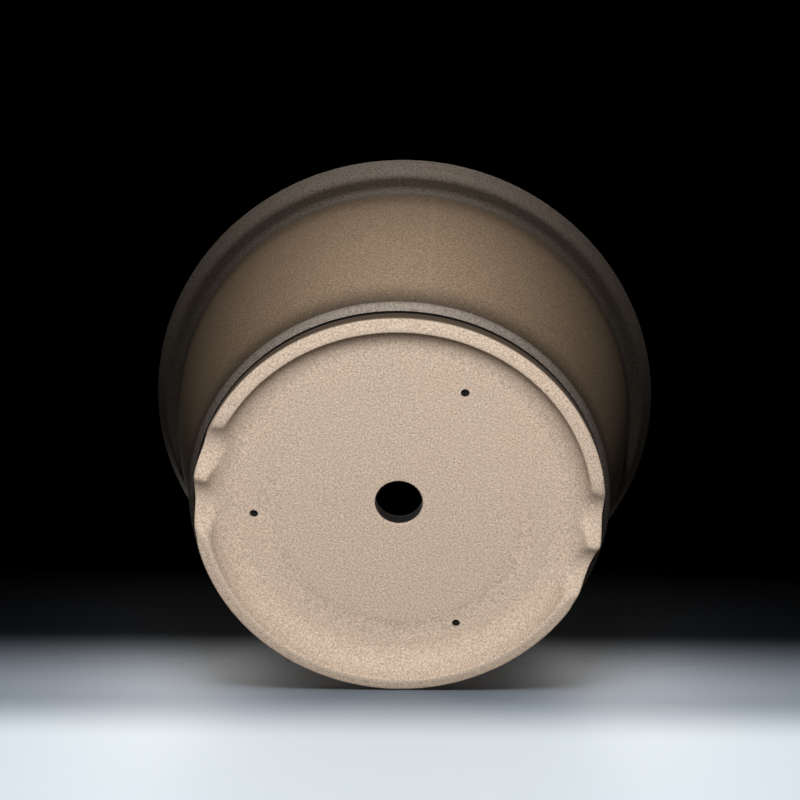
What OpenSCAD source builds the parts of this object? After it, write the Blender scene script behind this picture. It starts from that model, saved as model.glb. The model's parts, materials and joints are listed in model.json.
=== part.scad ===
// Round unglazed stoneware flower pot, slab built from five luted clay members.
// The axis of the pot is Z, the foot stands on Z = 0 and the cut-outs of the foot lie along X.

/* [Overall] */
// Outside diameter of the lip
rim_d = 206; // [190:1:260]
// Height from the bearing edge of the foot to the top of the lip
pot_h = 105; // [85:1:140]
// Outside diameter of the foot ring
foot_d = 150; // [120:1:176]

/* [Foot ring] */
// Width of the foot's end, from the recess to the outer wall
foot_band_w = 5; // [4:0.1:8]
// Width of the flat land that the pot stands on
foot_land_w = 1.2; // [0.6:0.1:2]
// Rise of the bevelled end from the land to the outer wall
foot_bevel_h = 1.5; // [0.5:0.1:3]
// Radius of the softened outer edge of the foot
foot_edge_r = 1; // [0.5:0.1:1.5]
// Depth of the recess under the floor
recess_depth = 9; // [8:0.1:14]
// Radius of the cove between the foot and the floor
cove_r = 7; // [4:0.1:8]
// Depth of the rebate in the floor that the foot ring is luted into
foot_let_in = 1; // [0.5:0.1:2]

/* [Cut-outs of the foot] */
// Width of one arch at the bearing edge
arch_w = 20.5; // [12:0.5:28]
// Height of an arch above the bearing edge
arch_rise = 6; // [3:0.1:7]
// Radius of the softened point between two arches and of the outer corners
arch_corner_r = 1.2; // [0.5:0.1:3]

/* [Floor] */
// Thickness of the floor
floor_t = 7; // [5:0.1:12]
// Diameter of the drain hole
drain_d = 17.6; // [10:0.1:30]
// Diameter of a hole for tie wire
wire_hole_d = 3; // [2:0.1:5]
// Direction of each wire hole from the axis, in degrees
wire_hole_angle = [-72, 56.5, 164]; // [-180:0.5:180]
// Distance of each wire hole in from the edge of the recess's flat
wire_hole_inset = [13.5, 8, 9.5]; // [5:0.5:25]

/* [Bead] */
// Radius of the half-round bead above the foot
bead_r = 3; // [2:0.1:4]
// How far the bead stands out from the foot
bead_proud = 2.2; // [1.5:0.1:2.9]

/* [Wall] */
// Thickness of the wall
wall_t = 7; // [5:0.1:10]
// Radius of the wall's outward curve, seen in section
bowl_r = 300; // [80:5:600]
// Radius of the cove inside, between the wall and the floor
inner_cove_r = 8; // [4:0.5:15]
// Depth of the rebate in the floor's edge that the wall stands in
wall_let_in = 3; // [1.5:0.1:4]

/* [Lip] */
// Height of the lip above the neck
lip_h = 13; // [10:0.5:20]
// How far the lip overhangs the neck
lip_overhang = 11; // [7:0.5:12]
// Width of the lip across its top
lip_top_w = 13; // [11:0.5:18]
// Rise of the lip's underside from the neck to its lower edge
lip_under_rise = 3; // [2.5:0.1:5]
// How far the lip's outer face leans out towards the top
lip_face_lean = 3.5; // [0:0.5:4]
// Radius of the lip's rounded edges
lip_edge_r = 2; // [1:0.1:3]
// Radius of the cove under the lip
neck_cove_r = 3; // [1:0.1:3]
// Height of the tongue on the wall that keys the lip
tongue_h = 3; // [1.5:0.1:4]
// Thickness of that tongue
tongue_t = 2.5; // [1.5:0.1:3.5]

/* [Hidden] */
$fn = 180;

// Cuts run this far past the surface that they open
cut_past = 1;
// Slanted and curved faces run this far into the rounds that end them, so that they cross and don't graze
round_lap = 0.02;
// Depth of the flat that the bearing plane leaves on a softened corner of a cut-out
corner_flat = 0.1;
// Flats that an arch and a softened corner of a cut-out are drawn with
arch_steps = 24;
corner_steps = 8;

rim_r = rim_d / 2;
foot_r = foot_d / 2;

// Foot ring: the land, the bevel's soft outer edge and the cove
bearing_r = foot_r - foot_band_w;
land_end = [bearing_r + foot_land_w, 0];
foot_edge_c = [foot_r - foot_edge_r, foot_bevel_h + foot_edge_r];
cove_c = [bearing_r - cove_r, recess_depth - cove_r];
ring_top = recess_depth + foot_let_in;

// Floor: its faces and the shoulder that the wall stands on
floor_top = recess_depth + floor_t;
wall_seat = floor_top - wall_let_in;

// Bead: over the seams on both sides of the floor's edge
bead_c = [foot_r + bead_proud - bead_r, (recess_depth + wall_seat) / 2];

// Wall: one arc from the floor's edge to the neck, and its parallel inside
neck = [rim_r - lip_overhang, pot_h - lip_h];
wall_start = [foot_r, wall_seat];
bowl_c = arc_centre(wall_start, neck, bowl_r);
bowl_in_r = bowl_r - wall_t;
inner_cove_c = [
    bowl_c.x + leg(bowl_in_r - inner_cove_r + round_lap, floor_top + inner_cove_r - bowl_c.y),
    floor_top + inner_cove_r
];
inner_cove_end = along(bowl_c, inner_cove_c, bowl_in_r);
plug_r = inner_cove_c.x;
neck_in_r = bowl_c.x + leg(bowl_in_r, neck.y - bowl_c.y);
tongue_r = (neck.x + neck_in_r) / 2;

// Lip: rounded edges, the leaning outer face, and the straight underside from the cove to the lower edge
lip_out_c = [rim_r - lip_edge_r, pot_h - lip_edge_r];
lip_low_c = [lip_out_c.x - lip_face_lean, neck.y + lip_under_rise + lip_edge_r];
lip_face = lip_out_c - lip_low_c;
lip_in_c = [rim_r - lip_top_w + lip_edge_r, pot_h - lip_edge_r];
lip_face_out = along([0, 0], [lip_face.y, -lip_face.x], lip_edge_r - round_lap);
neck_cove_c = [neck.x + neck_cove_r, neck.y];
under_lip = cross_tangent(neck_cove_c, neck_cove_r - round_lap, lip_low_c, lip_edge_r - round_lap);
lip_in_touch = tangent_point([neck_in_r, neck.y], lip_in_c, lip_edge_r - round_lap, 1);

// Cut-outs: two arches side by side, so far apart that the softened point between them just bears
arch_r = (pow(arch_w / 2, 2) + pow(arch_rise, 2)) / (2 * arch_rise);
arch_drop = arch_r - arch_rise;
corner_z = arch_corner_r - corner_flat;
arch_step = leg(arch_r + arch_corner_r, arch_drop + corner_z);
arch_lean = asin((arch_drop + corner_z) / (arch_r + arch_corner_r));

// Shorter side of a right triangle
function leg(long, short) = sqrt(pow(long, 2) - pow(short, 2));

// Point at a distance from a, on the line from a through b
function along(a, b, distance) = a + distance * (b - a) / norm(b - a);

// Centre of an arc of radius r that goes up from a to b and swells away from the axis
function arc_centre(a, b, r) =
    let (step = b - a, side = [-step.y, step.x] / norm(step))
    (a + b) / 2 + side * leg(r, norm(step) / 2);

// Point where a line from p touches a circle, turned by the sign of side
function tangent_point(p, c, r, side) =
    let (gap = c - p, turn = side * asin(r / norm(gap)), aim = atan2(gap.y, gap.x) + turn)
    p + leg(norm(gap), r) * [cos(aim), sin(aim)];

// Both ends of the line that passes over the first circle and under the second
function cross_tangent(c1, r1, c2, r2) =
    let (gap = c2 - c1, aim = atan2(gap.y, gap.x) - asin((r1 + r2) / norm(gap)))
    let (over = [-sin(aim), cos(aim)])
    [c1 + r1 * over, c2 - r2 * over];

// Disc at a point of a section
module disc(c, r) {
    translate(c)
        circle(r);
}

// Section of the foot ring: bevelled end, upright outer wall and cove inside
module foot_section() {
    bevel_touch = tangent_point(land_end, foot_edge_c, foot_edge_r - round_lap, -1);
    difference() {
        union() {
            polygon([
                [cove_c.x, 0],
                land_end,
                bevel_touch,
                foot_edge_c,
                [foot_r, foot_edge_c.y],
                [foot_r, ring_top],
                [cove_c.x, ring_top]
            ]);
            disc(foot_edge_c, foot_edge_r);
        }
        disc(cove_c, cove_r);
        translate([cove_c.x - cut_past, -cut_past])
            square([cove_r + cut_past, cove_c.y + cut_past]);
    }
}

// Points of an arc after its first, from one direction to another
function arc(c, r, from, to, steps) = [
    for (k = [1 : steps])
        let (turn = from + (to - from) * k / steps)
        c + r * [cos(turn), sin(turn)]
];

// Points of an arch, the i-th step along the cut-out, from left to right
function arch(i) = arc([i * arch_step, -arch_drop], arch_r, 180 - arch_lean, arch_lean, arch_steps);

// Points of a softened corner, the i-th step along the cut-out
function corner(i, from, to) = arc([i * arch_step, corner_z], arch_corner_r, from, to, corner_steps);

// Outline of one cut-out: two arches with a softened point between them and soft outer corners
module arch_outline() {
    rising = 360 - arch_lean;
    falling = 180 + arch_lean;
    polygon(concat(
        [[-2 * arch_step, -cut_past]],
        corner(-2, 270, rising),
        arch(-1),
        corner(0, falling, rising),
        arch(1),
        corner(2, falling, 270),
        [[2 * arch_step, -cut_past]]
    ));
}

// Section of the bowl's outside, solid to the axis
module bowl_outside() {
    intersection() {
        disc(bowl_c, bowl_r);
        translate([0, wall_seat])
            square([2 * rim_r, neck.y - wall_seat]);
    }
}

// Section of the hollow inside the wall, with the cove that runs into the floor
module bowl_hollow() {
    difference() {
        intersection() {
            disc(bowl_c, bowl_in_r);
            translate([0, floor_top])
                square([2 * rim_r, pot_h]);
        }
        difference() {
            polygon([
                inner_cove_c,
                inner_cove_end,
                [inner_cove_end.x + inner_cove_r, floor_top],
                [plug_r, floor_top]
            ]);
            disc(inner_cove_c, inner_cove_r);
        }
    }
}

// Section of the tongue that keys the lip to the wall
module tongue_section() {
    translate([tongue_r - tongue_t / 2, neck.y])
        square([tongue_t, tongue_h]);
}

// Section of the wall, from the rebate in the floor up to the tongue
module wall_section() {
    difference() {
        bowl_outside();
        bowl_hollow();
        square([plug_r, floor_top]);
    }
    tongue_section();
}

// Section of the lip, with the groove that the tongue keys into
module lip_section() {
    difference() {
        union() {
            polygon([
                [neck_in_r, neck.y],
                neck,
                under_lip[0],
                under_lip[1],
                lip_low_c + lip_face_out,
                lip_out_c + lip_face_out,
                lip_out_c,
                [lip_out_c.x, pot_h],
                [lip_in_c.x, pot_h],
                lip_in_c,
                lip_in_touch
            ]);
            disc(lip_low_c, lip_edge_r);
            disc(lip_out_c, lip_edge_r);
            disc(lip_in_c, lip_edge_r);
        }
        disc(neck_cove_c, neck_cove_r);
        tongue_section();
    }
}

// Disc of the floor, with the drain hole and the holes for tie wire
module floor_slab() {
    color("#b9a58c")
    difference() {
        rotate_extrude()
            polygon([
                [0, recess_depth],
                [cove_c.x, recess_depth],
                [cove_c.x, ring_top],
                [foot_r, ring_top],
                [foot_r, wall_seat],
                [plug_r, wall_seat],
                [plug_r, floor_top],
                [0, floor_top]
            ]);
        translate([0, 0, recess_depth - cut_past])
            cylinder(d = drain_d, h = floor_t + 2 * cut_past);
        for (i = [0 : len(wire_hole_angle) - 1])
            rotate(wire_hole_angle[i])
            translate([cove_c.x - wire_hole_inset[i], 0, recess_depth - cut_past])
                cylinder(d = wire_hole_d, h = floor_t + 2 * cut_past);
    }
}

// Foot strip bent to a ring, with the arched cut-outs on both sides
module foot_ring() {
    color("#c2ae95")
    difference() {
        rotate_extrude()
            foot_section();
        for (turn = [0, 180])
            rotate(turn)
            translate([cove_c.x - cut_past, 0, 0])
            rotate([90, 0, 90])
            linear_extrude(foot_r - cove_c.x + 2 * cut_past)
                arch_outline();
    }
}

// Half-round strip that covers the seam between foot, floor and wall
module foot_bead() {
    color("#a8947c")
    rotate_extrude()
        difference() {
            disc(bead_c, bead_r);
            square([foot_r, wall_seat + bead_r]);
            disc(bowl_c, bowl_r);
        }
}

// Wall band, standing in the rebate of the floor
module bowl_wall() {
    color("#8f7a62")
    rotate_extrude()
        wall_section();
}

// Everted lip strip, keyed on the tongue of the wall
module rim_lip() {
    color("#7c6a57")
    rotate_extrude()
        lip_section();
}

floor_slab();
foot_ring();
foot_bead();
bowl_wall();
rim_lip();
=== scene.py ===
"""Round unglazed stoneware flower pot: its five clay members, their finish and a plain stage."""

import json
from math import atan2, cos, pi, radians, sin, sqrt
from types import SimpleNamespace

import bpy
import numpy as np
from bpy.props import FloatProperty, FloatVectorProperty, PointerProperty
from mathutils import Matrix, Vector


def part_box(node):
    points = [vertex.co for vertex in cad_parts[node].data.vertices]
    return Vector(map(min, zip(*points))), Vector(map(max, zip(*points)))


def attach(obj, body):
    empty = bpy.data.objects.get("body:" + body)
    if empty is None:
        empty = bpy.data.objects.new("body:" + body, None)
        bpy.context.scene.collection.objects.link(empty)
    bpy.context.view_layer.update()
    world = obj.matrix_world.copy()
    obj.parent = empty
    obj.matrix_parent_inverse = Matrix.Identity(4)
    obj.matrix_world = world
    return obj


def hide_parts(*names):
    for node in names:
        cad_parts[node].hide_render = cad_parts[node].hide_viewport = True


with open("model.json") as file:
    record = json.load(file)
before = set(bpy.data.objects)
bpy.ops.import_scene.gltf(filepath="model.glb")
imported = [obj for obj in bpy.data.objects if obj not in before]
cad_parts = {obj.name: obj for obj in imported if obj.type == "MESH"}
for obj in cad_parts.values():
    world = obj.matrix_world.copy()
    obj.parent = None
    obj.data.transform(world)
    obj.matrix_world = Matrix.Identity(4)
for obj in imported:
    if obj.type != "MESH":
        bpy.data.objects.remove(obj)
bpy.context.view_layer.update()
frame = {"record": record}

bl_info = {
    "name": "Stoneware flower pot",
    "version": (1, 0, 0),
    "blender": (4, 5, 0),
    "location": "View3D > Sidebar > Pot",
    "description": "Makes a round unglazed flower pot of five clay members and a plain stage",
    "category": "Object",
}

MM = 0.001
slab_low, slab_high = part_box("floor_slab")
_, ring_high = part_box("foot_ring")
_, bead_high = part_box("foot_bead")
wall_low, wall_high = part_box("bowl_wall")
lip_low, lip_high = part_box("rim_lip")
bores = [mount for mount in frame["record"]["mounts"] if mount["kind"] == "bore"]
drain = next(bore for bore in bores if bore["name"] == "drain_hole")
wire_holes = [bore for bore in bores if bore is not drain]

# Steps round the pot, and the spacing of points on faces that show and on seats that don't
TURNS = 400
SKIN = 0.7 * MM
SEAT = 2.0 * MM
# Points of a section closer than this are one
ONE_POINT = 0.001 * MM
# The foot ring's section is drawn finely, softened and then carried by this many points
FOOT_FINE = 300
FOOT_POINTS = 80
# Steps round the foot ring, within and outside the sectors of its cut-outs
CUT_SECTOR = radians(36)
CUT_STEP = radians(0.25)
PLAIN_STEP = radians(1.0)
# Edges that turn by more than this stay crisp in the shading
CRISP = radians(38)
# Most values of a noise texture lie between these
NOISE_LOW, NOISE_HIGH = 0.3, 0.7


def linear(code):
    """Linear red, green and blue of an sRGB hex colour."""
    parts = [int(code[k:k + 2], 16) / 255 for k in (1, 3, 5)]
    return tuple(v / 12.92 if v <= 0.04045 else ((v + 0.055) / 1.055) ** 2.4 for v in parts)


def length(name, description, default):
    """A size of the pot, in metres."""
    return FloatProperty(name=name, description=description, default=default, unit="LENGTH", precision=5)


def colour(name, description, code):
    """A colour of the pot or the stage, from its sRGB hex value."""
    return FloatVectorProperty(
        name=name, description=description, default=linear(code), subtype="COLOR", size=3,
    )


class PotSizes(bpy.types.PropertyGroup):
    """Sizes of the pot's five members"""

    rim_radius: length("Rim radius", "Outside radius of the lip", lip_high[0])
    pot_height: length("Height", "From the bearing edge of the foot to the top of the lip", lip_high[2])
    neck_height: length("Neck height", "Where the wall ends and the lip starts", lip_low[2])
    foot_radius: length("Foot radius", "Outside radius of the foot ring", ring_high[0])
    ring_top: length("Foot seat", "Top of the foot ring, let into the floor", ring_high[2])
    recess_depth: length("Recess depth", "Depth of the recess under the floor", slab_low[2])
    floor_top: length("Floor top", "Upper face of the floor", slab_high[2])
    wall_seat: length("Wall seat", "Rebate in the floor's edge that the wall stands in", wall_low[2])
    tongue_top: length("Tongue top", "Top of the tongue that keys the lip", wall_high[2])
    band_width: length("Foot end width", "Width of the foot's end, from recess to outer wall", 5.0 * MM)
    land_width: length("Land width", "Width of the flat land that the pot stands on", 1.2 * MM)
    bevel_rise: length("Bevel rise", "Rise of the bevelled end to the outer wall", 0.8 * MM)
    foot_edge: length("Foot edge", "Radius of the foot's softened outer edge", 1.0 * MM)
    cove_radius: length("Cove", "Radius of the cove between the foot and the floor", 11.0 * MM)
    arch_width: length("Arch width", "Width of one arch at the bearing edge", 20.5 * MM)
    arch_rise: length("Arch rise", "Height of an arch above the bearing edge", 6.0 * MM)
    arch_corner: length("Arch corner", "Radius of the softened points of a cut-out", 1.2 * MM)
    corner_flat: length("Corner flat", "Flat that the bearing plane leaves on a softened point", 0.1 * MM)
    bead_radius: length("Bead radius", "Radius of the half-round bead above the foot", 3.0 * MM)
    bead_proud: length("Bead proud", "How far the bead stands out from the foot", bead_high[0] - ring_high[0])
    wall_thickness: length("Wall thickness", "Thickness of the wall", 7.0 * MM)
    bowl_radius: length("Wall curve", "Radius of the wall's outward curve in section", 300.0 * MM)
    inner_cove: length("Inner cove", "Radius of the cove between the wall and the floor", 8.0 * MM)
    lip_overhang: length("Lip overhang", "How far the lip overhangs the neck", 11.0 * MM)
    lip_top_width: length("Lip top width", "Width of the lip across its top", 13.0 * MM)
    lip_under_rise: length("Lip under rise", "Rise of the underside to the lip's lower edge", 3.0 * MM)
    lip_face_lean: length("Lip face lean", "How far the lip's outer face leans out", 3.5 * MM)
    lip_edge: length("Lip edge", "Radius of the lip's rounded edges", 2.0 * MM)
    neck_cove: length("Neck cove", "Radius of the cove under the lip", 3.0 * MM)
    tongue_thickness: length("Tongue thickness", "Thickness of the tongue that keys the lip", 2.5 * MM)
    hole_edge: length("Hole edge", "Radius of the wiped edges of the holes", 0.5 * MM)
    foot_softness: length("Foot softness", "How far the sponge has rounded the foot's edges", 0.35 * MM)
    arch_softness: length("Arch softness", "How far the sponge has rounded the cut-outs", 1.5 * MM)
    crevice_height: length("Crevice height", "Height of the open seam under the bead", 1.9 * MM)
    crevice_depth: length("Crevice depth", "Depth of the open seam under the bead", 1.2 * MM)
    warp: length("Warp", "How far the firing has drawn the rim in from the round", 1.0 * MM)
    unevenness: length("Unevenness", "How far hand work leaves a face from true", 0.12 * MM)
    groove_inner: length("Groove start", "Radius where the turned groove under the floor starts", 42.0 * MM)
    groove_floor: length("Groove floor", "Radius where the turned groove is deepest", 47.0 * MM)
    groove_outer: length("Groove end", "Radius where the turned groove under the floor ends", 56.0 * MM)
    groove_depth: length("Groove depth", "Depth of the turned groove under the floor", 0.4 * MM)


class PotColours(bpy.types.PropertyGroup):
    """Colours of the clay and the stage"""

    sandy: colour("Sandy clay", "Dry sponged clay of the foot and floor", "#b3a291")
    sandy_pink: colour("Sandy clay, pink", "Patches that fired pinker", "#b7a390")
    wall: colour("Wall", "Burnished clay of the wall", "#917d66")
    wall_red: colour("Wall, red", "Patches of the wall that fired redder", "#937b63")
    lip: colour("Lip", "Burnished clay of the lip", "#988b7f")
    lip_brown: colour("Lip, brown", "Patches of the lip that fired browner", "#978776")
    bead: colour("Bead", "Wiped clay of the bead", "#b5a79a")
    # Painted shade: the foot's outer wall is painted dark for the shade that falls on it
    foot_wall_painted_shade: colour("Foot wall", "Smoked clay of the foot's outer wall", "#57493b")
    # Painted shade: near black for the crevice under the bead and the walls of the holes
    seam_hole_shade: colour("Unsponged clay", "Dark clay in seams and holes, out of the sponge's reach", "#120e0b")
    table: colour("Table", "Pale table top", "#e6f0f7")
    # Painted shade: the table's darker colour towards the back, where it runs out of the light
    table_far_shade: colour("Table, far side", "Table top where it runs back out of the light", "#7e8894")
    floor: colour("Floor", "Pale floor under the standing pot", "#d4d6d8")


def leg(long, short):
    """Shorter side of a right triangle."""
    return sqrt(long ** 2 - short ** 2)


def point(x, z):
    """Point of a section: distance from the axis, and height."""
    return np.array([x, z])


def along(a, b, distance):
    """Point at a distance from a, on the line from a through b."""
    return a + distance * (b - a) / np.hypot(*(b - a))


def heading(step):
    """Direction of a step in a section, in radians."""
    return atan2(step[1], step[0])


def arc_centre(a, b, radius):
    """Centre of an arc that goes up from a to b and swells away from the axis."""
    step = b - a
    side = point(-step[1], step[0]) / np.hypot(*step)
    return (a + b) / 2 + side * leg(radius, np.hypot(*step) / 2)


def tangent_point(start, centre, radius, side):
    """Point where a line from start touches a circle, turned by the sign of side."""
    gap = centre - start
    distance = np.hypot(*gap)
    aim = heading(gap) + side * np.arcsin(radius / distance)
    return start + leg(distance, radius) * point(cos(aim), sin(aim))


def cross_tangent(centre_1, radius_1, centre_2, radius_2):
    """Normal of the line that passes over the first circle and under the second."""
    gap = centre_2 - centre_1
    aim = heading(gap) - np.arcsin((radius_1 + radius_2) / np.hypot(*gap))
    return point(-sin(aim), cos(aim))


def circles_cross(centre_1, radius_1, centre_2, radius_2):
    """Crossing of two circles on the left of the line from the first centre to the second."""
    gap = centre_2 - centre_1
    distance = np.hypot(*gap)
    ahead = (distance ** 2 + radius_1 ** 2 - radius_2 ** 2) / (2 * distance)
    unit = gap / distance
    return centre_1 + ahead * unit + leg(radius_1, ahead) * point(-unit[1], unit[0])


def arc(centre, radius, start, end, spacing):
    """Points of an arc of a section, from one direction to another in radians."""
    count = max(4, int(abs(end - start) * radius / spacing) + 2)
    turn = np.linspace(start, end, count)
    return np.column_stack([centre[0] + radius * np.cos(turn), centre[1] + radius * np.sin(turn)])


def straight(spacing, *corners):
    """Points of the straight stretches of a section from corner to corner."""
    stretches = []
    for a, b in zip(corners, corners[1:]):
        count = max(2, int(np.hypot(*np.subtract(b, a)) / spacing) + 2)
        stretches.append(np.linspace(a, b, count))
    return np.vstack(stretches)


def closed(*stretches):
    """Closed outline of stretches that follow each other, without the points that they share."""
    points = np.vstack(stretches)
    steps = np.diff(points, axis=0, append=points[:1])
    return points[np.hypot(*steps.T) > ONE_POINT]


def layout(sizes):
    """Points and radii of the section that the members share."""
    at = SimpleNamespace()
    at.bearing = sizes.foot_radius - sizes.band_width
    at.foot_edge = point(sizes.foot_radius - sizes.foot_edge, sizes.bevel_rise + sizes.foot_edge)
    at.cove = point(at.bearing - sizes.cove_radius, sizes.recess_depth - sizes.cove_radius)
    at.wall_foot = point(sizes.foot_radius, sizes.wall_seat)
    at.neck = point(sizes.rim_radius - sizes.lip_overhang, sizes.neck_height)
    at.bowl = arc_centre(at.wall_foot, at.neck, sizes.bowl_radius)
    at.bowl_inner = sizes.bowl_radius - sizes.wall_thickness
    cove_height = sizes.floor_top + sizes.inner_cove
    reach = leg(at.bowl_inner - sizes.inner_cove, cove_height - at.bowl[1])
    at.inner_cove = point(at.bowl[0] + reach, cove_height)
    at.inner_cove_end = along(at.bowl, at.inner_cove, at.bowl_inner)
    at.plug = at.inner_cove[0]
    at.neck_inner = point(at.bowl[0] + leg(at.bowl_inner, at.neck[1] - at.bowl[1]), at.neck[1])
    middle = (at.neck[0] + at.neck_inner[0]) / 2
    inner, outer = middle - sizes.tongue_thickness / 2, middle + sizes.tongue_thickness / 2
    # Corners of the joint between wall and lip, from the outside over the tongue to the inside
    at.key = [
        at.neck,
        (outer, sizes.neck_height),
        (outer, sizes.tongue_top),
        (inner, sizes.tongue_top),
        (inner, sizes.neck_height),
        at.neck_inner,
    ]
    at.bead = point(
        sizes.foot_radius + sizes.bead_proud - sizes.bead_radius,
        (sizes.recess_depth + sizes.wall_seat) / 2,
    )
    return at


def hole_edges(bore, sizes):
    """Centres of the rounded lower and upper edge of a hole in the floor."""
    edge = sizes.hole_edge
    radius = bore["dims"]["r_mm"] * MM + edge
    return point(radius, sizes.recess_depth + edge), point(radius, sizes.floor_top - edge)


def floor_section(sizes, at):
    """Section of the floor from the drain hole to its edge, with the rebates for the foot and the wall."""
    edge = sizes.hole_edge
    edge_step = edge / 6
    low, high = hole_edges(drain, sizes)
    seat_in = point(at.cove[0], sizes.recess_depth)
    return closed(
        straight(SKIN, low - point(0, edge), seat_in),
        straight(
            SEAT,
            seat_in,
            (at.cove[0], sizes.ring_top),
            (sizes.foot_radius, sizes.ring_top),
            at.wall_foot,
            (at.plug, sizes.wall_seat),
            (at.plug, sizes.floor_top),
        ),
        straight(SKIN, (at.plug, sizes.floor_top), high + point(0, edge)),
        arc(high, edge, pi / 2, pi, edge_step),
        straight(SKIN, high - point(edge, 0), low - point(edge, 0)),
        arc(low, edge, pi, 1.5 * pi, edge_step),
    )


def arch_height(across, sizes):
    """Height of a cut-out's outline over its distance from the middle of the cut-out."""
    radius = ((sizes.arch_width / 2) ** 2 + sizes.arch_rise ** 2) / (2 * sizes.arch_rise)
    drop = radius - sizes.arch_rise
    corner_height = sizes.arch_corner - sizes.corner_flat
    step = leg(radius + sizes.arch_corner, drop + corner_height)
    join = radius * step / (radius + sizes.arch_corner)
    from_arch = np.abs(np.abs(across) - step)
    from_corner = np.minimum(np.abs(step - from_arch), sizes.arch_corner)
    arch = np.sqrt(np.maximum(radius ** 2 - from_arch ** 2, 0)) - drop
    corner = corner_height - np.sqrt(sizes.arch_corner ** 2 - from_corner ** 2)
    height = np.where(from_arch < join, arch, corner)
    return np.where(np.abs(across) < 2 * step, height, 0)


def foot_underside(sizes, at):
    """Outline of the foot ring that shows, from the floor over the cove and the bevelled end to its top."""
    fine = 0.1 * MM
    land = point(at.bearing + sizes.land_width, 0)
    touch = tangent_point(land, at.foot_edge, sizes.foot_edge, -1)
    seam_low = at.bead[1] - sizes.bead_radius - sizes.crevice_height
    seam_in = sizes.foot_radius - sizes.crevice_depth
    cove_end = np.arcsin(max(0, -at.cove[1]) / sizes.cove_radius)
    mouth = at.cove + sizes.cove_radius * point(cos(cove_end), sin(cove_end))
    return np.vstack([
        arc(at.cove, sizes.cove_radius, pi / 2, cove_end, fine),
        straight(fine, mouth, (at.bearing, 0), land, touch),
        arc(at.foot_edge, sizes.foot_edge, heading(touch - at.foot_edge), 0, fine),
        straight(
            fine,
            (sizes.foot_radius, at.foot_edge[1]),
            (sizes.foot_radius, seam_low),
            (seam_in, seam_low),
            (seam_in, sizes.ring_top),
        ),
    ])


def bell(sigma):
    """Weights of a bell curve this many steps wide, and how many steps it reaches to either side."""
    reach = int(3 * sigma) + 1
    weights = np.exp(-0.5 * (np.arange(-reach, reach + 1) / sigma) ** 2)
    return weights / weights.sum(), reach


def softened(outline, softness):
    """The outline with evenly spaced points and its edges rounded, as a wet sponge rounds them."""
    run = np.concatenate([[0], np.cumsum(np.hypot(*np.diff(outline, axis=0).T))])
    fine_run = np.linspace(0, run[-1], FOOT_FINE)
    fine = np.column_stack([np.interp(fine_run, run, outline[:, k]) for k in (0, 1)])
    weights, reach = bell(softness / fine_run[1])
    before = 2 * fine[0] - fine[reach:0:-1]
    after = 2 * fine[-1] - fine[-2:-reach - 2:-1]
    padded = np.vstack([before, fine, after])
    smooth = np.column_stack([np.convolve(padded[:, k], weights, "valid") for k in (0, 1)])
    few_run = np.linspace(0, run[-1], FOOT_POINTS)
    return np.column_stack([np.interp(few_run, fine_run, smooth[:, k]) for k in (0, 1)])


def foot_turns():
    """Directions of the foot ring's sections, close together in the sectors of the cut-outs."""
    stretches = []
    for middle in (0, pi):
        cut_end = middle + CUT_SECTOR
        plain_end = middle + pi - CUT_SECTOR
        stretches.append(np.arange(middle - CUT_SECTOR, cut_end - CUT_STEP / 2, CUT_STEP))
        stretches.append(np.arange(cut_end, plain_end - PLAIN_STEP / 2, PLAIN_STEP))
    return np.concatenate(stretches)


def foot_sections(sizes, at, turns):
    """Section of the foot ring at each turn, raised to the arches where the cut-outs are."""
    base = foot_underside(sizes, at)
    corner = (at.cove[0], sizes.ring_top)
    seat = np.vstack([
        straight(SEAT, base[-1], corner)[1:],
        straight(SEAT, corner, (at.cove[0], sizes.recess_depth))[1:-1],
    ])
    sections = []
    for turn in turns:
        rise = arch_height(base[:, 0] * sin(turn), sizes)
        raised = np.column_stack([base[:, 0], np.maximum(base[:, 1], rise)])
        share = min(1, rise.max() / sizes.arch_corner)
        softness = sizes.foot_softness + share * (sizes.arch_softness - sizes.foot_softness)
        sections.append(np.vstack([softened(raised, softness), seat]))
    weights, reach = bell(sizes.arch_softness / (CUT_STEP * sizes.foot_radius))
    beside = [np.roll(sections, shift, axis=0) for shift in range(-reach, reach + 1)]
    return np.tensordot(weights, np.array(beside), axes=1)


def bead_section(sizes, at):
    """Section of the half-round bead, closed against the foot, the floor and the wall."""
    bead_step = 0.3 * MM
    low = -np.arccos((sizes.foot_radius - at.bead[0]) / sizes.bead_radius)
    top = circles_cross(at.bowl, sizes.bowl_radius, at.bead, sizes.bead_radius)
    bottom = point(sizes.foot_radius, at.bead[1] + sizes.bead_radius * sin(low))
    return closed(
        arc(at.bead, sizes.bead_radius, low, heading(top - at.bead), bead_step),
        arc(at.bowl, sizes.bowl_radius, heading(top - at.bowl), heading(at.wall_foot - at.bowl), SEAT),
        straight(SEAT, at.wall_foot, bottom),
    )


def wall_section(sizes, at):
    """Section of the wall, from its seat in the floor up to the tongue that keys the lip."""
    start, end = heading(at.neck_inner - at.bowl), heading(at.inner_cove_end - at.bowl)
    return closed(
        arc(at.bowl, sizes.bowl_radius, heading(at.wall_foot - at.bowl), heading(at.neck - at.bowl), SKIN),
        straight(SEAT, *at.key),
        arc(at.bowl, at.bowl_inner, start, end, 1.5 * SKIN),
        arc(at.inner_cove, sizes.inner_cove, heading(at.inner_cove - at.bowl), -pi / 2, SKIN),
        straight(SEAT, (at.plug, sizes.floor_top), (at.plug, sizes.wall_seat), at.wall_foot),
    )


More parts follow.
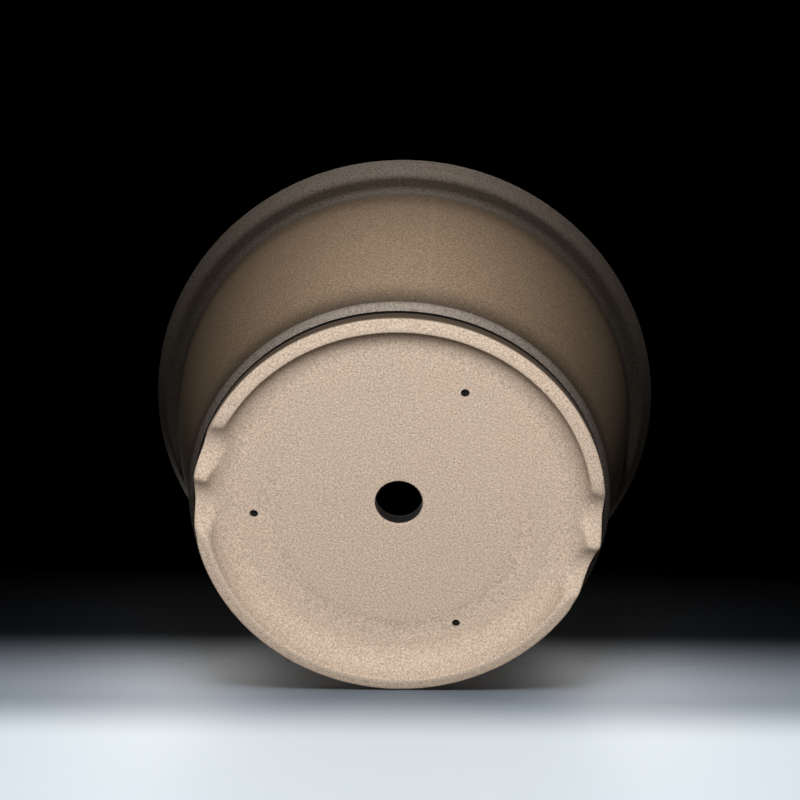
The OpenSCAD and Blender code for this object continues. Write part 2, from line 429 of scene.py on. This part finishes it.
def lip_section(sizes, at):
    """Section of the lip: seat and groove, cove, underside, leaning face, flat top and inner slope."""
    edge = sizes.lip_edge
    bend_step, side_step = 0.25 * MM, 0.4 * MM
    top_out = point(sizes.rim_radius - edge, sizes.pot_height - edge)
    top_in = point(sizes.rim_radius - sizes.lip_top_width + edge, sizes.pot_height - edge)
    low = point(top_out[0] - sizes.lip_face_lean, sizes.neck_height + sizes.lip_under_rise + edge)
    cove = point(at.neck[0] + sizes.neck_cove, sizes.neck_height)
    over = cross_tangent(cove, sizes.neck_cove, low, edge)
    face = top_out - low
    face_out = point(face[1], -face[0]) / np.hypot(*face)
    touch = tangent_point(at.neck_inner, top_in, edge, 1)
    return closed(
        straight(SEAT, *reversed(at.key)),
        arc(cove, sizes.neck_cove, pi, heading(over), bend_step),
        straight(side_step, cove + sizes.neck_cove * over, low - edge * over),
        arc(low, edge, heading(-over), heading(face_out), bend_step),
        straight(side_step, low + edge * face_out, top_out + edge * face_out),
        arc(top_out, edge, heading(face_out), pi / 2, bend_step),
        straight(SKIN, top_out + point(0, edge), top_in + point(0, edge)),
        arc(top_in, edge, pi / 2, heading(touch - top_in), bend_step),
        straight(SKIN, touch, at.neck_inner),
    )


def eased(value, low, high):
    """Smooth step from 0 at the low value to 1 at the high one."""
    share = np.clip((value - low) / (high - low), 0, 1)
    return share ** 2 * (3 - 2 * share)


def waver(places, span):
    """Soft unevenness of hand work, from about -1 to 1, with swells about as long as span."""
    x, y, z = places.T * 2 * pi / span
    swell = np.sin(0.9 * x + 1.3 * np.sin(0.7 * y + z))
    swell += np.sin(1.1 * y + 1.7 * np.sin(0.8 * z + 0.6 * x))
    swell += np.sin(1.3 * z + 1.1 * np.sin(0.6 * x - 0.5 * y))
    return swell / 3


def hand_made(places, sizes):
    """Places drawn in from the round, by three shallow lobes at the rim and the hand's unevenness."""
    lobe_direction = radians(-101)
    swell = 55 * MM
    near_axis = 10 * MM
    turn = np.arctan2(places[:, 1], places[:, 0])
    height = np.clip(places[:, 2] / sizes.pot_height, 0, 1)
    lobes = (1 - np.cos(3 * (turn - lobe_direction))) / 2
    inward = sizes.warp * lobes * height ** 2
    rough = (1 + waver(places, swell)) / 2 * np.clip(places[:, 2] / sizes.floor_top, 0, 1)
    inward += sizes.unevenness * rough
    radius = np.hypot(places[:, 0], places[:, 1])
    shrink = 1 - inward / np.maximum(radius, near_axis)
    moved = places.copy()
    moved[:, :2] *= shrink[:, None]
    return moved


def sweep(sections, turns):
    """Places and faces of a closed section carried round the axis, with a section for each turn."""
    turn_count, point_count = sections.shape[:2]
    radius = sections[..., 0]
    places = np.stack(
        [radius * np.cos(turns)[:, None], radius * np.sin(turns)[:, None], sections[..., 1]], axis=-1
    )
    step, beside = np.meshgrid(np.arange(turn_count), np.arange(point_count), indexing="ij")
    here = step * point_count
    ahead = (step + 1) % turn_count * point_count
    after = (beside + 1) % point_count
    faces = np.stack([here + beside, ahead + beside, ahead + after, here + after], axis=-1)
    return places.reshape(-1, 3), faces.reshape(-1, 4)


def round_sweep(section):
    """Places and faces of one section carried round the axis."""
    turns = np.linspace(0, 2 * pi, TURNS, endpoint=False)
    return sweep(np.broadcast_to(section, (TURNS, *section.shape)), turns)


def make_object(name, places, faces):
    """Object with a mesh of these places and faces, linked to the scene."""
    mesh = bpy.data.meshes.new(name)
    mesh.from_pydata(places.tolist(), [], [list(face) for face in faces])
    made = bpy.data.objects.new(name, mesh)
    bpy.context.scene.collection.objects.link(made)
    return made


def round_member(name, section, sizes):
    """Object of a section carried round the axis, as the hand leaves it."""
    places, faces = round_sweep(section(sizes, layout(sizes)))
    return make_object(name, hand_made(places, sizes), faces)


def finish_member(made, material, node_name):
    """Gives a clay member its shading and material, and sets it in the place of its CAD node."""
    made.data.shade_smooth()
    made.data.set_sharp_from_angle(angle=CRISP)
    made.data.materials.append(material)
    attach(made, "root")
    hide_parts(node_name)


def hole_cutter(bore, sizes):
    """Object that cuts one hole for tie wire, flared where the clay's edges were wiped."""
    steps = 40
    edge = sizes.hole_edge
    edge_step = edge / 6
    past = 1.0 * MM
    low, high = hole_edges(bore, sizes)
    outline = np.vstack([
        [low - point(0, edge + past)],
        arc(low, edge, 1.5 * pi, pi, edge_step),
        arc(high, edge, pi, pi / 2, edge_step),
        [high + point(0, edge + past)],
    ])
    turns = np.linspace(0, 2 * pi, steps, endpoint=False)
    x, y = bore["pos_m"][:2]
    places = np.array([(x + r * cos(turn), y + r * sin(turn), z) for r, z in outline for turn in turns])
    faces = [
        (k * steps + i, k * steps + (i + 1) % steps, (k + 1) * steps + (i + 1) % steps, (k + 1) * steps + i)
        for k in range(len(outline) - 1)
        for i in range(steps)
    ]
    faces.append(tuple(range(steps - 1, -1, -1)))
    faces.append(tuple(range((len(outline) - 1) * steps, len(outline) * steps)))
    return make_object("cutter_" + bore["name"], places, faces)


def cut_holes(made, cutters):
    """Cuts the holes out of the floor, and takes the cutters away."""
    for cutter in cutters:
        hole = made.modifiers.new(cutter.name, "BOOLEAN")
        hole.operation = "DIFFERENCE"
        hole.solver = "EXACT"
        hole.object = cutter
    shown = made.evaluated_get(bpy.context.evaluated_depsgraph_get())
    cut = bpy.data.meshes.new_from_object(shown)
    made.modifiers.clear()
    made.data = cut
    for cutter in cutters:
        bpy.data.objects.remove(cutter)


def wire(tree, kind, inputs=None, **settings):
    """Adds a node with its settings. An input is a value, an output, or a node for its first output."""
    made = tree.nodes.new("ShaderNode" + kind)
    for key, value in settings.items():
        setattr(made, key, value)
    for key, value in (inputs or {}).items():
        if isinstance(value, bpy.types.Node):
            value = value.outputs[0]
        if isinstance(value, bpy.types.NodeSocket):
            tree.links.new(value, made.inputs[key])
        else:
            made.inputs[key].default_value = value
    return made


def opaque(rgb):
    """A colour with full alpha, as node sockets take it."""
    return (*rgb, 1.0)


def new_material(name):
    """Empty material and its node tree."""
    material = bpy.data.materials.new(name)
    material.use_nodes = True
    material.node_tree.nodes.clear()
    return material, material.node_tree


def clay_body(tree, place, tone_1, tone_2, cloud_size, detail):
    """Colour of fired clay, which goes from one tone to another in clouds."""
    cloud = wire(tree, "TexNoise", {"Vector": place, "Scale": 1 / cloud_size, "Detail": detail})
    return wire(tree, "MixRGB", {
        "Fac": cloud.outputs["Fac"], "Color1": opaque(tone_1), "Color2": opaque(tone_2),
    })


def clay_grit(tree, place, contrast):
    """Height of the sand in the clay, and the tone that it gives the face."""
    grit_size = 0.65 * MM
    noise = wire(tree, "TexNoise", {"Vector": place, "Scale": 1 / grit_size, "Detail": 2.0, "Roughness": 0.7})
    grit = noise.outputs["Fac"]
    tone = wire(tree, "MapRange", {
        "Value": grit,
        "From Min": NOISE_LOW,
        "From Max": NOISE_HIGH,
        "To Min": 1 - contrast,
        "To Max": 1 + contrast,
    })
    return grit, tone


def spots(tree, place, spacing, size, share, strength):
    """Strength of round spots of a size, in this share of the cells of a spacing."""
    full_to, gone_from = 0.35 * size / spacing, 0.65 * size / spacing
    cell = wire(tree, "TexVoronoi", {"Vector": place, "Scale": 1 / spacing})
    spot = wire(tree, "MapRange", {
        "Value": cell.outputs["Distance"],
        "From Min": full_to,
        "From Max": gone_from,
        "To Min": strength,
        "To Max": 0.0,
    })
    chance = wire(tree, "SeparateColor", {"Color": cell.outputs["Color"]}).outputs["Red"]
    chosen = wire(tree, "Math", {0: chance, 1: share}, operation="LESS_THAN")
    return wire(tree, "Math", {0: spot, 1: chosen}, operation="MULTIPLY")


def clay_face(tree, colour, height, depth, roughness, specular):
    """Ends a clay's node tree with its colour, the relief of a height this deep, and its sheen."""
    relief = wire(tree, "Bump", {"Strength": 1.0, "Distance": depth, "Height": height})
    clay = wire(tree, "BsdfPrincipled", {
        "Base Color": colour, "Roughness": roughness, "Specular IOR Level": specular, "Normal": relief,
    })
    wire(tree, "OutputMaterial", {"Surface": clay})


def sandy_stoneware(colours, sizes):
    """Stoneware clay opened with sand, sponged while leather hard and fired without glaze.

    The sponge washes the fine clay off the sand, so the face is dry and matt and its grit catches the light
    as pale and dark grains. A few grains have burnt out to pin holes. The foot's outer wall is painted dark
    as painted shade, and the seam under the bead and the walls of the holes are painted near black as shade.
    """
    foot_shade_start, foot_shade_full = sizes.foot_radius - 0.5 * MM, sizes.foot_radius - 0.1 * MM
    seam_start, seam_full = sizes.arch_rise, sizes.arch_rise + 0.3 * MM
    seam_depth = 2 * MM
    hole_start, hole_full = sizes.recess_depth + 0.7 * MM, sizes.recess_depth + 1.1 * MM
    hole_end = sizes.floor_top - 0.3 * MM
    material, tree = new_material("stoneware_sponged_unglazed")
    place = wire(tree, "TexCoord").outputs["Object"]
    body = clay_body(tree, place, colours.sandy, colours.sandy_pink, cloud_size=28 * MM, detail=3.0)
    grit, grain_tone = clay_grit(tree, place, contrast=0.4)
    grained = wire(tree, "MixRGB", {"Fac": 1.0, "Color1": body, "Color2": grain_tone}, blend_type="MULTIPLY")
    grain = spots(tree, place, spacing=1.4 * MM, size=0.5 * MM, share=0.4, strength=0.6)
    specked = wire(tree, "MixRGB", {"Fac": grain, "Color1": grained, "Color2": opaque(linear("#ded2c4"))})
    pit = spots(tree, place, spacing=6 * MM, size=0.55 * MM, share=0.06, strength=0.85)
    pitted = wire(tree, "MixRGB", {"Fac": pit, "Color1": specked, "Color2": opaque(linear("#4a3c30"))})

    level = wire(tree, "VectorMath", {0: place, 1: (1, 1, 0)}, operation="MULTIPLY")
    radius = wire(tree, "VectorMath", {0: level}, operation="LENGTH").outputs["Value"]
    height = wire(tree, "SeparateXYZ", {"Vector": place}).outputs["Z"]
    # Painted shade: past these radii the foot's outer wall takes its dark colour
    foot_wall_shade_mask = wire(tree, "MapRange", {"Value": radius, "From Min": foot_shade_start, "From Max": foot_shade_full})
    foot_wall_shaded = wire(tree, "MixRGB", {"Fac": foot_wall_shade_mask, "Color1": pitted, "Color2": opaque(colours.foot_wall_painted_shade)})
    # Painted shade: the crevice under the bead and the walls of the holes are painted near black
    past_arch = wire(tree, "MapRange", {"Value": height, "From Min": seam_start, "From Max": seam_full})
    outside = wire(tree, "Math", {0: radius, 1: sizes.foot_radius - seam_depth}, operation="GREATER_THAN")
    seam_shade_mask = wire(tree, "Math", {0: past_arch, 1: outside}, operation="MULTIPLY")
    past_edge = wire(tree, "MapRange", {"Value": height, "From Min": hole_start, "From Max": hole_full})
    under_top = wire(tree, "Math", {0: height, 1: hole_end}, operation="LESS_THAN")
    hole_shade_mask = wire(tree, "Math", {0: past_edge, 1: under_top}, operation="MULTIPLY")
    hidden = wire(tree, "Math", {0: seam_shade_mask, 1: hole_shade_mask}, operation="MAXIMUM")
    seam_hole_shade = wire(tree, "MixRGB", {"Fac": hidden, "Color1": foot_wall_shaded, "Color2": opaque(colours.seam_hole_shade)})

    relief = wire(tree, "Math", {0: pit, 1: -3.0, 2: grit}, operation="MULTIPLY_ADD")
    clay_face(tree, seam_hole_shade, relief, depth=0.1 * MM, roughness=0.9, specular=0.3)
    return material


def burnished_stoneware(name, tone_1, tone_2, painted_shades=(), joint_side=None):
    """The same clay turned and rubbed with a rib while leather hard, fired without glaze.

    The rib presses the sand under a skin of fine clay, so the face is darker and closer, with a soft sheen at
    low angles, faint lines along the turning and a few grains that stand out. Each painted shade gives two
    heights and the tones at them: on faces that look outward the colour darkens between these heights,
    painted shade beside the bead and under the lip. On joint_side a faint pale line shows where the strip's
    ends were scored and closed.
    """
    line_length, line_width = 45 * MM, 1.3 * MM
    inside_from = -10 * MM
    joint_width, joint_reach, joint_pale = 0.2 * MM, 1.6 * MM, 0.08
    material, tree = new_material(name)
    place = wire(tree, "TexCoord").outputs["Object"]
    body = clay_body(tree, place, tone_1, tone_2, cloud_size=34 * MM, detail=4.0)
    grit, grain_tone = clay_grit(tree, place, contrast=0.45)
    stretched = wire(tree, "VectorMath", {
        0: place, 1: (1 / line_length, 1 / line_length, 1 / line_width),
    }, operation="MULTIPLY")
    turning = wire(tree, "TexNoise", {"Vector": stretched, "Scale": 1.0, "Detail": 2.0}).outputs["Fac"]
    line_tone = wire(tree, "MapRange", {
        "Value": turning, "From Min": NOISE_LOW, "From Max": NOISE_HIGH, "To Min": 0.98, "To Max": 1.02,
    })
    tone = wire(tree, "Math", {0: grain_tone, 1: line_tone}, operation="MULTIPLY")

    level = wire(tree, "VectorMath", {0: place, 1: (1, 1, 0)}, operation="MULTIPLY")
    normal = wire(tree, "NewGeometry").outputs["Normal"]
    outward = wire(tree, "VectorMath", {0: normal, 1: level}, operation="DOT_PRODUCT").outputs["Value"]
    outside = wire(tree, "MapRange", {"Value": outward, "From Min": inside_from, "From Max": 0.0})
    height = wire(tree, "SeparateXYZ", {"Vector": place}).outputs["Z"]
    for low, high, tone_low, tone_high in painted_shades:
        shade = wire(tree, "MapRange", {
            "Value": height,
            "From Min": low,
            "From Max": high,
            "To Min": tone_low - 1.0,
            "To Max": tone_high - 1.0,
        }, interpolation_type="SMOOTHSTEP")
        held = wire(tree, "Math", {0: shade, 1: outside, 2: 1.0}, operation="MULTIPLY_ADD")
        tone = wire(tree, "Math", {0: tone, 1: held}, operation="MULTIPLY")
    if joint_side:
        ahead = (cos(joint_side), sin(joint_side), 0)
        aside = (sin(joint_side), -cos(joint_side), 0)
        across = wire(tree, "VectorMath", {0: place, 1: aside}, operation="DOT_PRODUCT").outputs["Value"]
        beside = wire(tree, "Math", {0: across}, operation="ABSOLUTE")
        facing = wire(tree, "VectorMath", {0: place, 1: ahead}, operation="DOT_PRODUCT").outputs["Value"]
        on_side = wire(tree, "Math", {0: facing, 1: 0.0}, operation="GREATER_THAN")
        paler = wire(tree, "MapRange", {
            "Value": beside,
            "From Min": joint_width,
            "From Max": joint_reach,
            "To Min": joint_pale,
            "To Max": 0.0,
        })
        scored = wire(tree, "Math", {0: paler, 1: on_side, 2: 1.0}, operation="MULTIPLY_ADD")
        tone = wire(tree, "Math", {0: tone, 1: scored}, operation="MULTIPLY")
    toned = wire(tree, "MixRGB", {"Fac": 1.0, "Color1": body, "Color2": tone}, blend_type="MULTIPLY")
    grain = spots(tree, place, spacing=2.0 * MM, size=0.5 * MM, share=0.35, strength=0.5)
    specked = wire(tree, "MixRGB", {"Fac": grain, "Color1": toned, "Color2": opaque(linear("#c3b29c"))})
    relief = wire(tree, "Math", {0: turning, 1: 0.3, 2: grit}, operation="MULTIPLY_ADD")
    clay_face(tree, specked, relief, depth=0.06 * MM, roughness=0.7, specular=0.35)
    return material


def sandy_material(context):
    """The material of the floor and the foot ring, made when a member first asks for it."""
    scene = context.scene
    made = bpy.data.materials.get("stoneware_sponged_unglazed")
    return made or sandy_stoneware(scene.pot_colours, scene.pot_sizes)


class POT_OT_floor(bpy.types.Operator):
    """Make the disc of the floor, with the drain hole and the holes for tie wire"""

    bl_idname = "pot.floor"
    bl_label = "Floor slab"

    def execute(self, context):
        sizes = context.scene.pot_sizes
        at = layout(sizes)
        swell, margin, tolerance = 48 * MM, 8 * MM, 0.1 * MM
        groove_middle = point(1 * MM, 6 * MM)
        shallow_side, deep_side = -30 * MM, 20 * MM
        places, faces = round_sweep(floor_section(sizes, at))
        radius = np.hypot(places[:, 0], places[:, 1])
        fade = np.clip((at.cove[0] - radius) / margin, 0, 1)
        lift = fade * sizes.unevenness * (1 + waver(places, swell)) / 2
        from_middle = np.hypot(*(places[:, :2] - groove_middle).T)
        going_in = eased(from_middle, sizes.groove_inner, sizes.groove_floor)
        coming_out = eased(from_middle, sizes.groove_floor, sizes.groove_outer)
        groove = sizes.groove_depth * (going_in - coming_out)
        lift += groove * eased(places[:, 1], shallow_side, deep_side)
        under = places[:, 2] < sizes.recess_depth + tolerance
        places[under, 2] += lift[under]
        made = make_object("pot_floor", hand_made(places, sizes), faces)
        cut_holes(made, [hole_cutter(bore, sizes) for bore in wire_holes])
        finish_member(made, sandy_material(context), "floor_slab")
        return {"FINISHED"}


class POT_OT_foot_ring(bpy.types.Operator):
    """Make the foot ring with its bevelled end, its cove and the scalloped cut-outs"""

    bl_idname = "pot.foot_ring"
    bl_label = "Foot ring"

    def execute(self, context):
        sizes = context.scene.pot_sizes
        turns = foot_turns()
        places, faces = sweep(foot_sections(sizes, layout(sizes), turns), turns)
        made = make_object("pot_foot_ring", hand_made(places, sizes), faces)
        finish_member(made, sandy_material(context), "foot_ring")
        return {"FINISHED"}


class POT_OT_foot_bead(bpy.types.Operator):
    """Make the half-round bead over the seam above the foot"""

    bl_idname = "pot.foot_bead"
    bl_label = "Foot bead"

    def execute(self, context):
        sizes = context.scene.pot_sizes
        made = round_member("pot_foot_bead", bead_section, sizes)
        tone = context.scene.pot_colours.bead
        material = burnished_stoneware("stoneware_wiped_unglazed", tone, tone)
        finish_member(made, material, "foot_bead")
        return {"FINISHED"}


class POT_OT_wall(bpy.types.Operator):
    """Make the gently rounded wall with the tongue that keys the lip"""

    bl_idname = "pot.wall"
    bl_label = "Wall"

    def execute(self, context):
        sizes = context.scene.pot_sizes
        made = round_member("pot_wall", wall_section, sizes)
        colours = context.scene.pot_colours
        # Painted shade: the wall's outside darkens above its seat beside the bead, and below the neck under
        # the lip
        reach = 14 * MM
        painted_shades = (
            (sizes.wall_seat, sizes.wall_seat + reach, 0.25, 1.0),
            (sizes.neck_height - reach, sizes.neck_height, 1.0, 0.6),
        )
        material = burnished_stoneware(
            "stoneware_burnished_wall", colours.wall, colours.wall_red, painted_shades, joint_side=radians(-93),
        )
        finish_member(made, material, "bowl_wall")
        return {"FINISHED"}


class POT_OT_lip(bpy.types.Operator):
    """Make the everted lip that sits on the wall"""

    bl_idname = "pot.lip"
    bl_label = "Lip"

    def execute(self, context):
        sizes = context.scene.pot_sizes
        made = round_member("pot_lip", lip_section, sizes)
        colours = context.scene.pot_colours
        # Painted shade: the lip's underside darkens just above the neck
        reach = 6 * MM
        painted_shades = ((sizes.neck_height, sizes.neck_height + reach, 0.45, 1.0),)
        material = burnished_stoneware("stoneware_burnished_lip", colours.lip, colours.lip_brown, painted_shades)
        finish_member(made, material, "rim_lip")
        return {"FINISHED"}


# Side of the pot that lies on the table, as a direction round its axis
REST_SIDE = radians(79.2)
# Clearance that keeps the clay out of the table and the floor
STAGE_CLEAR = 0.15 * MM
# Eye of the camera, the point that it looks at and its lens, in the pot's frame
CAMERA_PLACE = Vector((-0.0385, -0.2769, -0.5467))
CAMERA_AIM = Vector((-0.0075, -0.0441, 0.0))
CAMERA_LENS = 76.5
CAMERA_SENSOR = 36.0
BLACK = (0.0, 0.0, 0.0, 1.0)
# The front light's distance from the foot and tilt from the pot's axis, and the upper lights' distance
FRONT_DISTANCE = 1.0
FRONT_TILT = radians(36)
OVER_DISTANCE = 0.6


def table_frame(sizes):
    """Matrix of the table that the pot lies on: X to the right, Y away from the camera, Z up."""
    outward = Vector((cos(REST_SIDE), sin(REST_SIDE), 0))
    foot = outward * sizes.foot_radius + Vector((0, 0, sizes.bevel_rise + sizes.foot_edge))
    lip = outward * sizes.rim_radius + Vector((0, 0, sizes.pot_height - sizes.lip_edge))
    away = (lip - foot).normalized()
    right = away.cross(-outward).normalized()
    up = right.cross(away)
    place = Matrix((right, away, up)).transposed().to_4x4()
    place.translation = foot - up * STAGE_CLEAR
    return place


def flat_sheet(name, place, side, near, far, material):
    """Level sheet of the stage in the frame of place: this far to either side, and from near to far."""
    corners = np.array([(-side, near, 0), (side, near, 0), (side, far, 0), (-side, far, 0)])
    made = make_object(name, corners, [(0, 1, 2, 3)])
    made.matrix_world = place
    made.visible_shadow = False
    made.visible_diffuse = False
    made.visible_glossy = False
    made.data.materials.append(material)


def seen_from_above(tree, top, gone=0.0):
    """Ends a sheet's node tree so that its finish shows from above only, and not where it is gone."""
    behind = wire(tree, "NewGeometry").outputs["Backfacing"]
    hidden = wire(tree, "Math", {0: gone, 1: behind}, operation="MAXIMUM")
    shown = wire(tree, "MixShader", {0: hidden, 1: top, 2: wire(tree, "BsdfTransparent")})
    wire(tree, "OutputMaterial", {"Surface": shown})


def table_material(colours):
    """Matt laminate table top, seen from above only, painted darker towards the back as shade, then faded
    out.
    """
    lit_edge, dim_edge, dark_edge, last_edge = -0.06, -0.01, 0.079, 0.19
    faint_share = 0.018
    material, tree = new_material("laminate_matt_table")
    place = wire(tree, "TexCoord").outputs["Object"]
    away = wire(tree, "SeparateXYZ", {"Vector": place}).outputs["Y"]
    # Painted shade: the colour darkens from the lit edge to the dim edge, then the sheet fades away
    depth = wire(tree, "MapRange", {
        "Value": away, "From Min": lit_edge, "From Max": dim_edge,
    }, interpolation_type="SMOOTHSTEP")
    tone = wire(tree, "MixRGB", {
        "Fac": depth, "Color1": opaque(colours.table), "Color2": opaque(colours.table_far_shade),
    })
    top = wire(tree, "BsdfPrincipled", {"Base Color": tone, "Roughness": 0.5})
    fade = wire(tree, "MapRange", {
        "Value": away, "From Min": dim_edge, "From Max": dark_edge, "To Max": 1 - faint_share,
    }, interpolation_type="SMOOTHSTEP")
    faint = wire(tree, "MapRange", {
        "Value": away, "From Min": dark_edge, "From Max": last_edge, "To Max": faint_share,
    })
    gone = wire(tree, "Math", {0: fade, 1: faint}, operation="ADD")
    seen_from_above(tree, top, gone)
    return material


def floor_material(colours):
    """Matt painted floor, seen from above only."""
    material, tree = new_material("paint_matt_floor")
    top = wire(tree, "BsdfPrincipled", {"Base Color": opaque(colours.floor), "Roughness": 0.7})
    seen_from_above(tree, top)
    return material


def shade_disc(sizes):
    """Black sheet under the foot, unseen by the camera, that puts shade on the floor by keeping the recess's
    light off it.
    """
    steps = 96
    material, tree = new_material("black_shade_disc")
    black_sheet = wire(tree, "BsdfDiffuse", {"Color": BLACK})
    wire(tree, "OutputMaterial", {"Surface": black_sheet})
    turns = np.linspace(0, 2 * pi, steps, endpoint=False)
    rim = sizes.foot_radius * np.column_stack([np.cos(turns), np.sin(turns), 0 * turns])
    made = make_object("shade_disc", rim, [tuple(range(steps))])
    made.location = (0, 0, -STAGE_CLEAR / 2)
    made.visible_camera = False
    made.visible_shadow = False
    made.visible_glossy = False
    made.data.materials.append(material)


def backdrop(scene, colours):
    """Plain surround: pale round the horizon and below, dark overhead, with a weak even fill."""
    pale_to, dark_from = 0.3, 0.72
    fill_strength = 0.015
    world = bpy.data.worlds.new("studio")
    world.use_nodes = True
    scene.world = world
    tree = world.node_tree
    tree.nodes.clear()
    direction = wire(tree, "TexCoord").outputs["Generated"]
    height = wire(tree, "SeparateXYZ", {"Vector": direction}).outputs["Z"]
    overhead = wire(tree, "MapRange", {
        "Value": height, "From Min": pale_to, "From Max": dark_from,
    }, interpolation_type="SMOOTHSTEP")
    seen = wire(tree, "MixRGB", {"Fac": overhead, "Color1": opaque(colours.floor), "Color2": BLACK})
    sight = wire(tree, "Background", {"Color": seen, "Strength": 1.0})
    fill = wire(tree, "Background", {"Color": (1.0, 1.0, 1.0, 1.0), "Strength": fill_strength})
    by_camera = wire(tree, "LightPath").outputs["Is Camera Ray"]
    both = wire(tree, "MixShader", {0: by_camera, 1: fill, 2: sight})
    wire(tree, "OutputWorld", {"Surface": both})


def hang(lamp, place, target):
    """Object of a lamp at a place, turned to a target and not seen by the camera."""
    made = bpy.data.objects.new(lamp.name, lamp)
    made.visible_camera = False
    made.location = place
    made.rotation_mode = "QUATERNION"
    made.rotation_quaternion = (target - place).to_track_quat("-Z", "Y")
    bpy.context.scene.collection.objects.link(made)
    return made


def soft_box(name, place, target, size, watts):
    """Square soft light."""
    lamp = bpy.data.lights.new(name, "AREA")
    lamp.shape = "SQUARE"
    lamp.size = size
    lamp.energy = watts
    return hang(lamp, place, target)


def soft_spot(name, place, target, width, size, watts):
    """Round light that fades to its edge, for one region of the pot."""
    lamp = bpy.data.lights.new(name, "SPOT")
    lamp.spot_size = width
    lamp.spot_blend = 1.0
    lamp.shadow_soft_size = size
    lamp.energy = watts
    return hang(lamp, place, target)


def make_camera(scene, sizes):
    """Camera at the photograph's place, level with the table."""
    up = table_frame(sizes).to_3x3().col[2]
    forward = (CAMERA_AIM - CAMERA_PLACE).normalized()
    right = forward.cross(up).normalized()
    lens = bpy.data.cameras.new("camera")
    lens.lens = CAMERA_LENS
    lens.sensor_width = CAMERA_SENSOR
    lens.clip_start = 0.01
    made = bpy.data.objects.new("camera", lens)
    turned = Matrix((right, right.cross(forward), -forward)).transposed().to_4x4()
    turned.translation = CAMERA_PLACE
    made.matrix_world = turned
    scene.collection.objects.link(made)
    scene.camera = made


def light_only(lamp, *names):
    """Keeps a lamp's light to the objects of these names, as flags and doors do in a studio."""
    lit = bpy.data.collections.new(lamp.name + "_lit")
    for name in names:
        lit.objects.link(bpy.data.objects[name])
    lamp.light_linking.receiver_collection = lit


def make_lamps(sizes):
    """Lights of the lying pot, from the front and from above, and lamps for its far side and its inside."""
    table = table_frame(sizes)
    crown = Vector((-cos(REST_SIDE), -sin(REST_SIDE), 0))
    foot_middle = Vector((0, 0, sizes.bevel_rise))
    toward_front = sin(FRONT_TILT) * crown + Vector((0, 0, -cos(FRONT_TILT)))
    front_place = foot_middle + FRONT_DISTANCE * toward_front
    front = soft_box("front", front_place, foot_middle, size=0.3, watts=14.1)
    light_only(front, "pot_floor", "pot_foot_ring")
    shoulder = crown * (sizes.foot_radius + 5 * MM) + Vector((0, 0, 28 * MM))
    # Heights over the table and widths of the beams in degrees, watts and the objects that are lit
    for name, height, width, watts, *lit in (
        ("over_bead", 30, 14, 16.0, "pot_foot_bead"),
        ("over_near", 55, 14, 12.2, "pot_wall", "pot_lip"),
        ("over_wide", 68, 25, 6.2, "pot_wall", "pot_lip"),
    ):
        toward = table.to_3x3() @ Vector((0, -cos(radians(height)), sin(radians(height))))
        place = shoulder + OVER_DISTANCE * toward
        over = soft_spot(name, place, shoulder, radians(width), size=0.06, watts=watts)
        light_only(over, *lit)
    lit_table = table @ Vector((0, -0.1, 0))
    above_table = soft_box("table_lamp", table @ Vector((0, -0.3, 0.9)), lit_table, size=0.3, watts=8.0)
    light_only(above_table, "table")
    middle = Vector((0, 0, sizes.pot_height / 2))
    above_floor = soft_box("floor_lamp", Vector((0, 0.2, 1.6)), middle, size=0.5, watts=6.0)
    light_only(above_floor, "floor")
    soft_box("back", Vector((0, 0.9, 0.75)), middle, size=0.6, watts=7.0)
    soft_box("top", Vector((0, 0.15, 1.1)), middle, size=0.6, watts=6.0)


class POT_OT_stage(bpy.types.Operator):
    """Make the table, the floor, the surround, the lamps and the camera"""

    bl_idname = "pot.stage"
    bl_label = "Stage"

    def execute(self, context):
        scene = context.scene
        sizes, colours = scene.pot_sizes, scene.pot_colours
        scene.view_settings.view_transform = "Standard"
        table = table_frame(sizes)
        flat_sheet("table", table, side=0.6, near=-0.5, far=0.21, material=table_material(colours))
        ground = Matrix.Translation((0, 0, -STAGE_CLEAR))
        flat_sheet("floor", ground, side=3, near=-3, far=3, material=floor_material(colours))
        shade_disc(sizes)
        backdrop(scene, colours)
        make_lamps(sizes)
        make_camera(scene, sizes)
        return {"FINISHED"}


MEMBERS = (POT_OT_floor, POT_OT_foot_ring, POT_OT_foot_bead, POT_OT_wall, POT_OT_lip)


class POT_PT_pot(bpy.types.Panel):
    """Steps that make the pot, with its sizes and colours"""

    bl_idname = "POT_PT_pot"
    bl_label = "Stoneware flower pot"
    bl_space_type = "VIEW_3D"
    bl_region_type = "UI"
    bl_category = "Pot"

    def draw(self, context):
        steps = self.layout.column(align=True)
        for operator in (*MEMBERS, POT_OT_stage):
            steps.operator(operator.bl_idname)
        for group in (context.scene.pot_sizes, context.scene.pot_colours):
            values = self.layout.column(align=True)
            for name in group.__annotations__:
                values.prop(group, name)


CLASSES = (PotSizes, PotColours, *MEMBERS, POT_OT_stage, POT_PT_pot)


def register():
    """Adds the classes, and the sizes and colours to the scene."""
    for item in CLASSES:
        bpy.utils.register_class(item)
    bpy.types.Scene.pot_sizes = PointerProperty(type=PotSizes)
    bpy.types.Scene.pot_colours = PointerProperty(type=PotColours)


def unregister():
    """Takes the classes, the sizes and the colours away again."""
    del bpy.types.Scene.pot_colours
    del bpy.types.Scene.pot_sizes
    for item in reversed(CLASSES):
        bpy.utils.unregister_class(item)


def main():
    register()
    bpy.ops.pot.floor()
    bpy.ops.pot.foot_ring()
    bpy.ops.pot.foot_bead()
    bpy.ops.pot.wall()
    bpy.ops.pot.lip()
    bpy.ops.pot.stage()


if __name__ == "__main__":
    main()
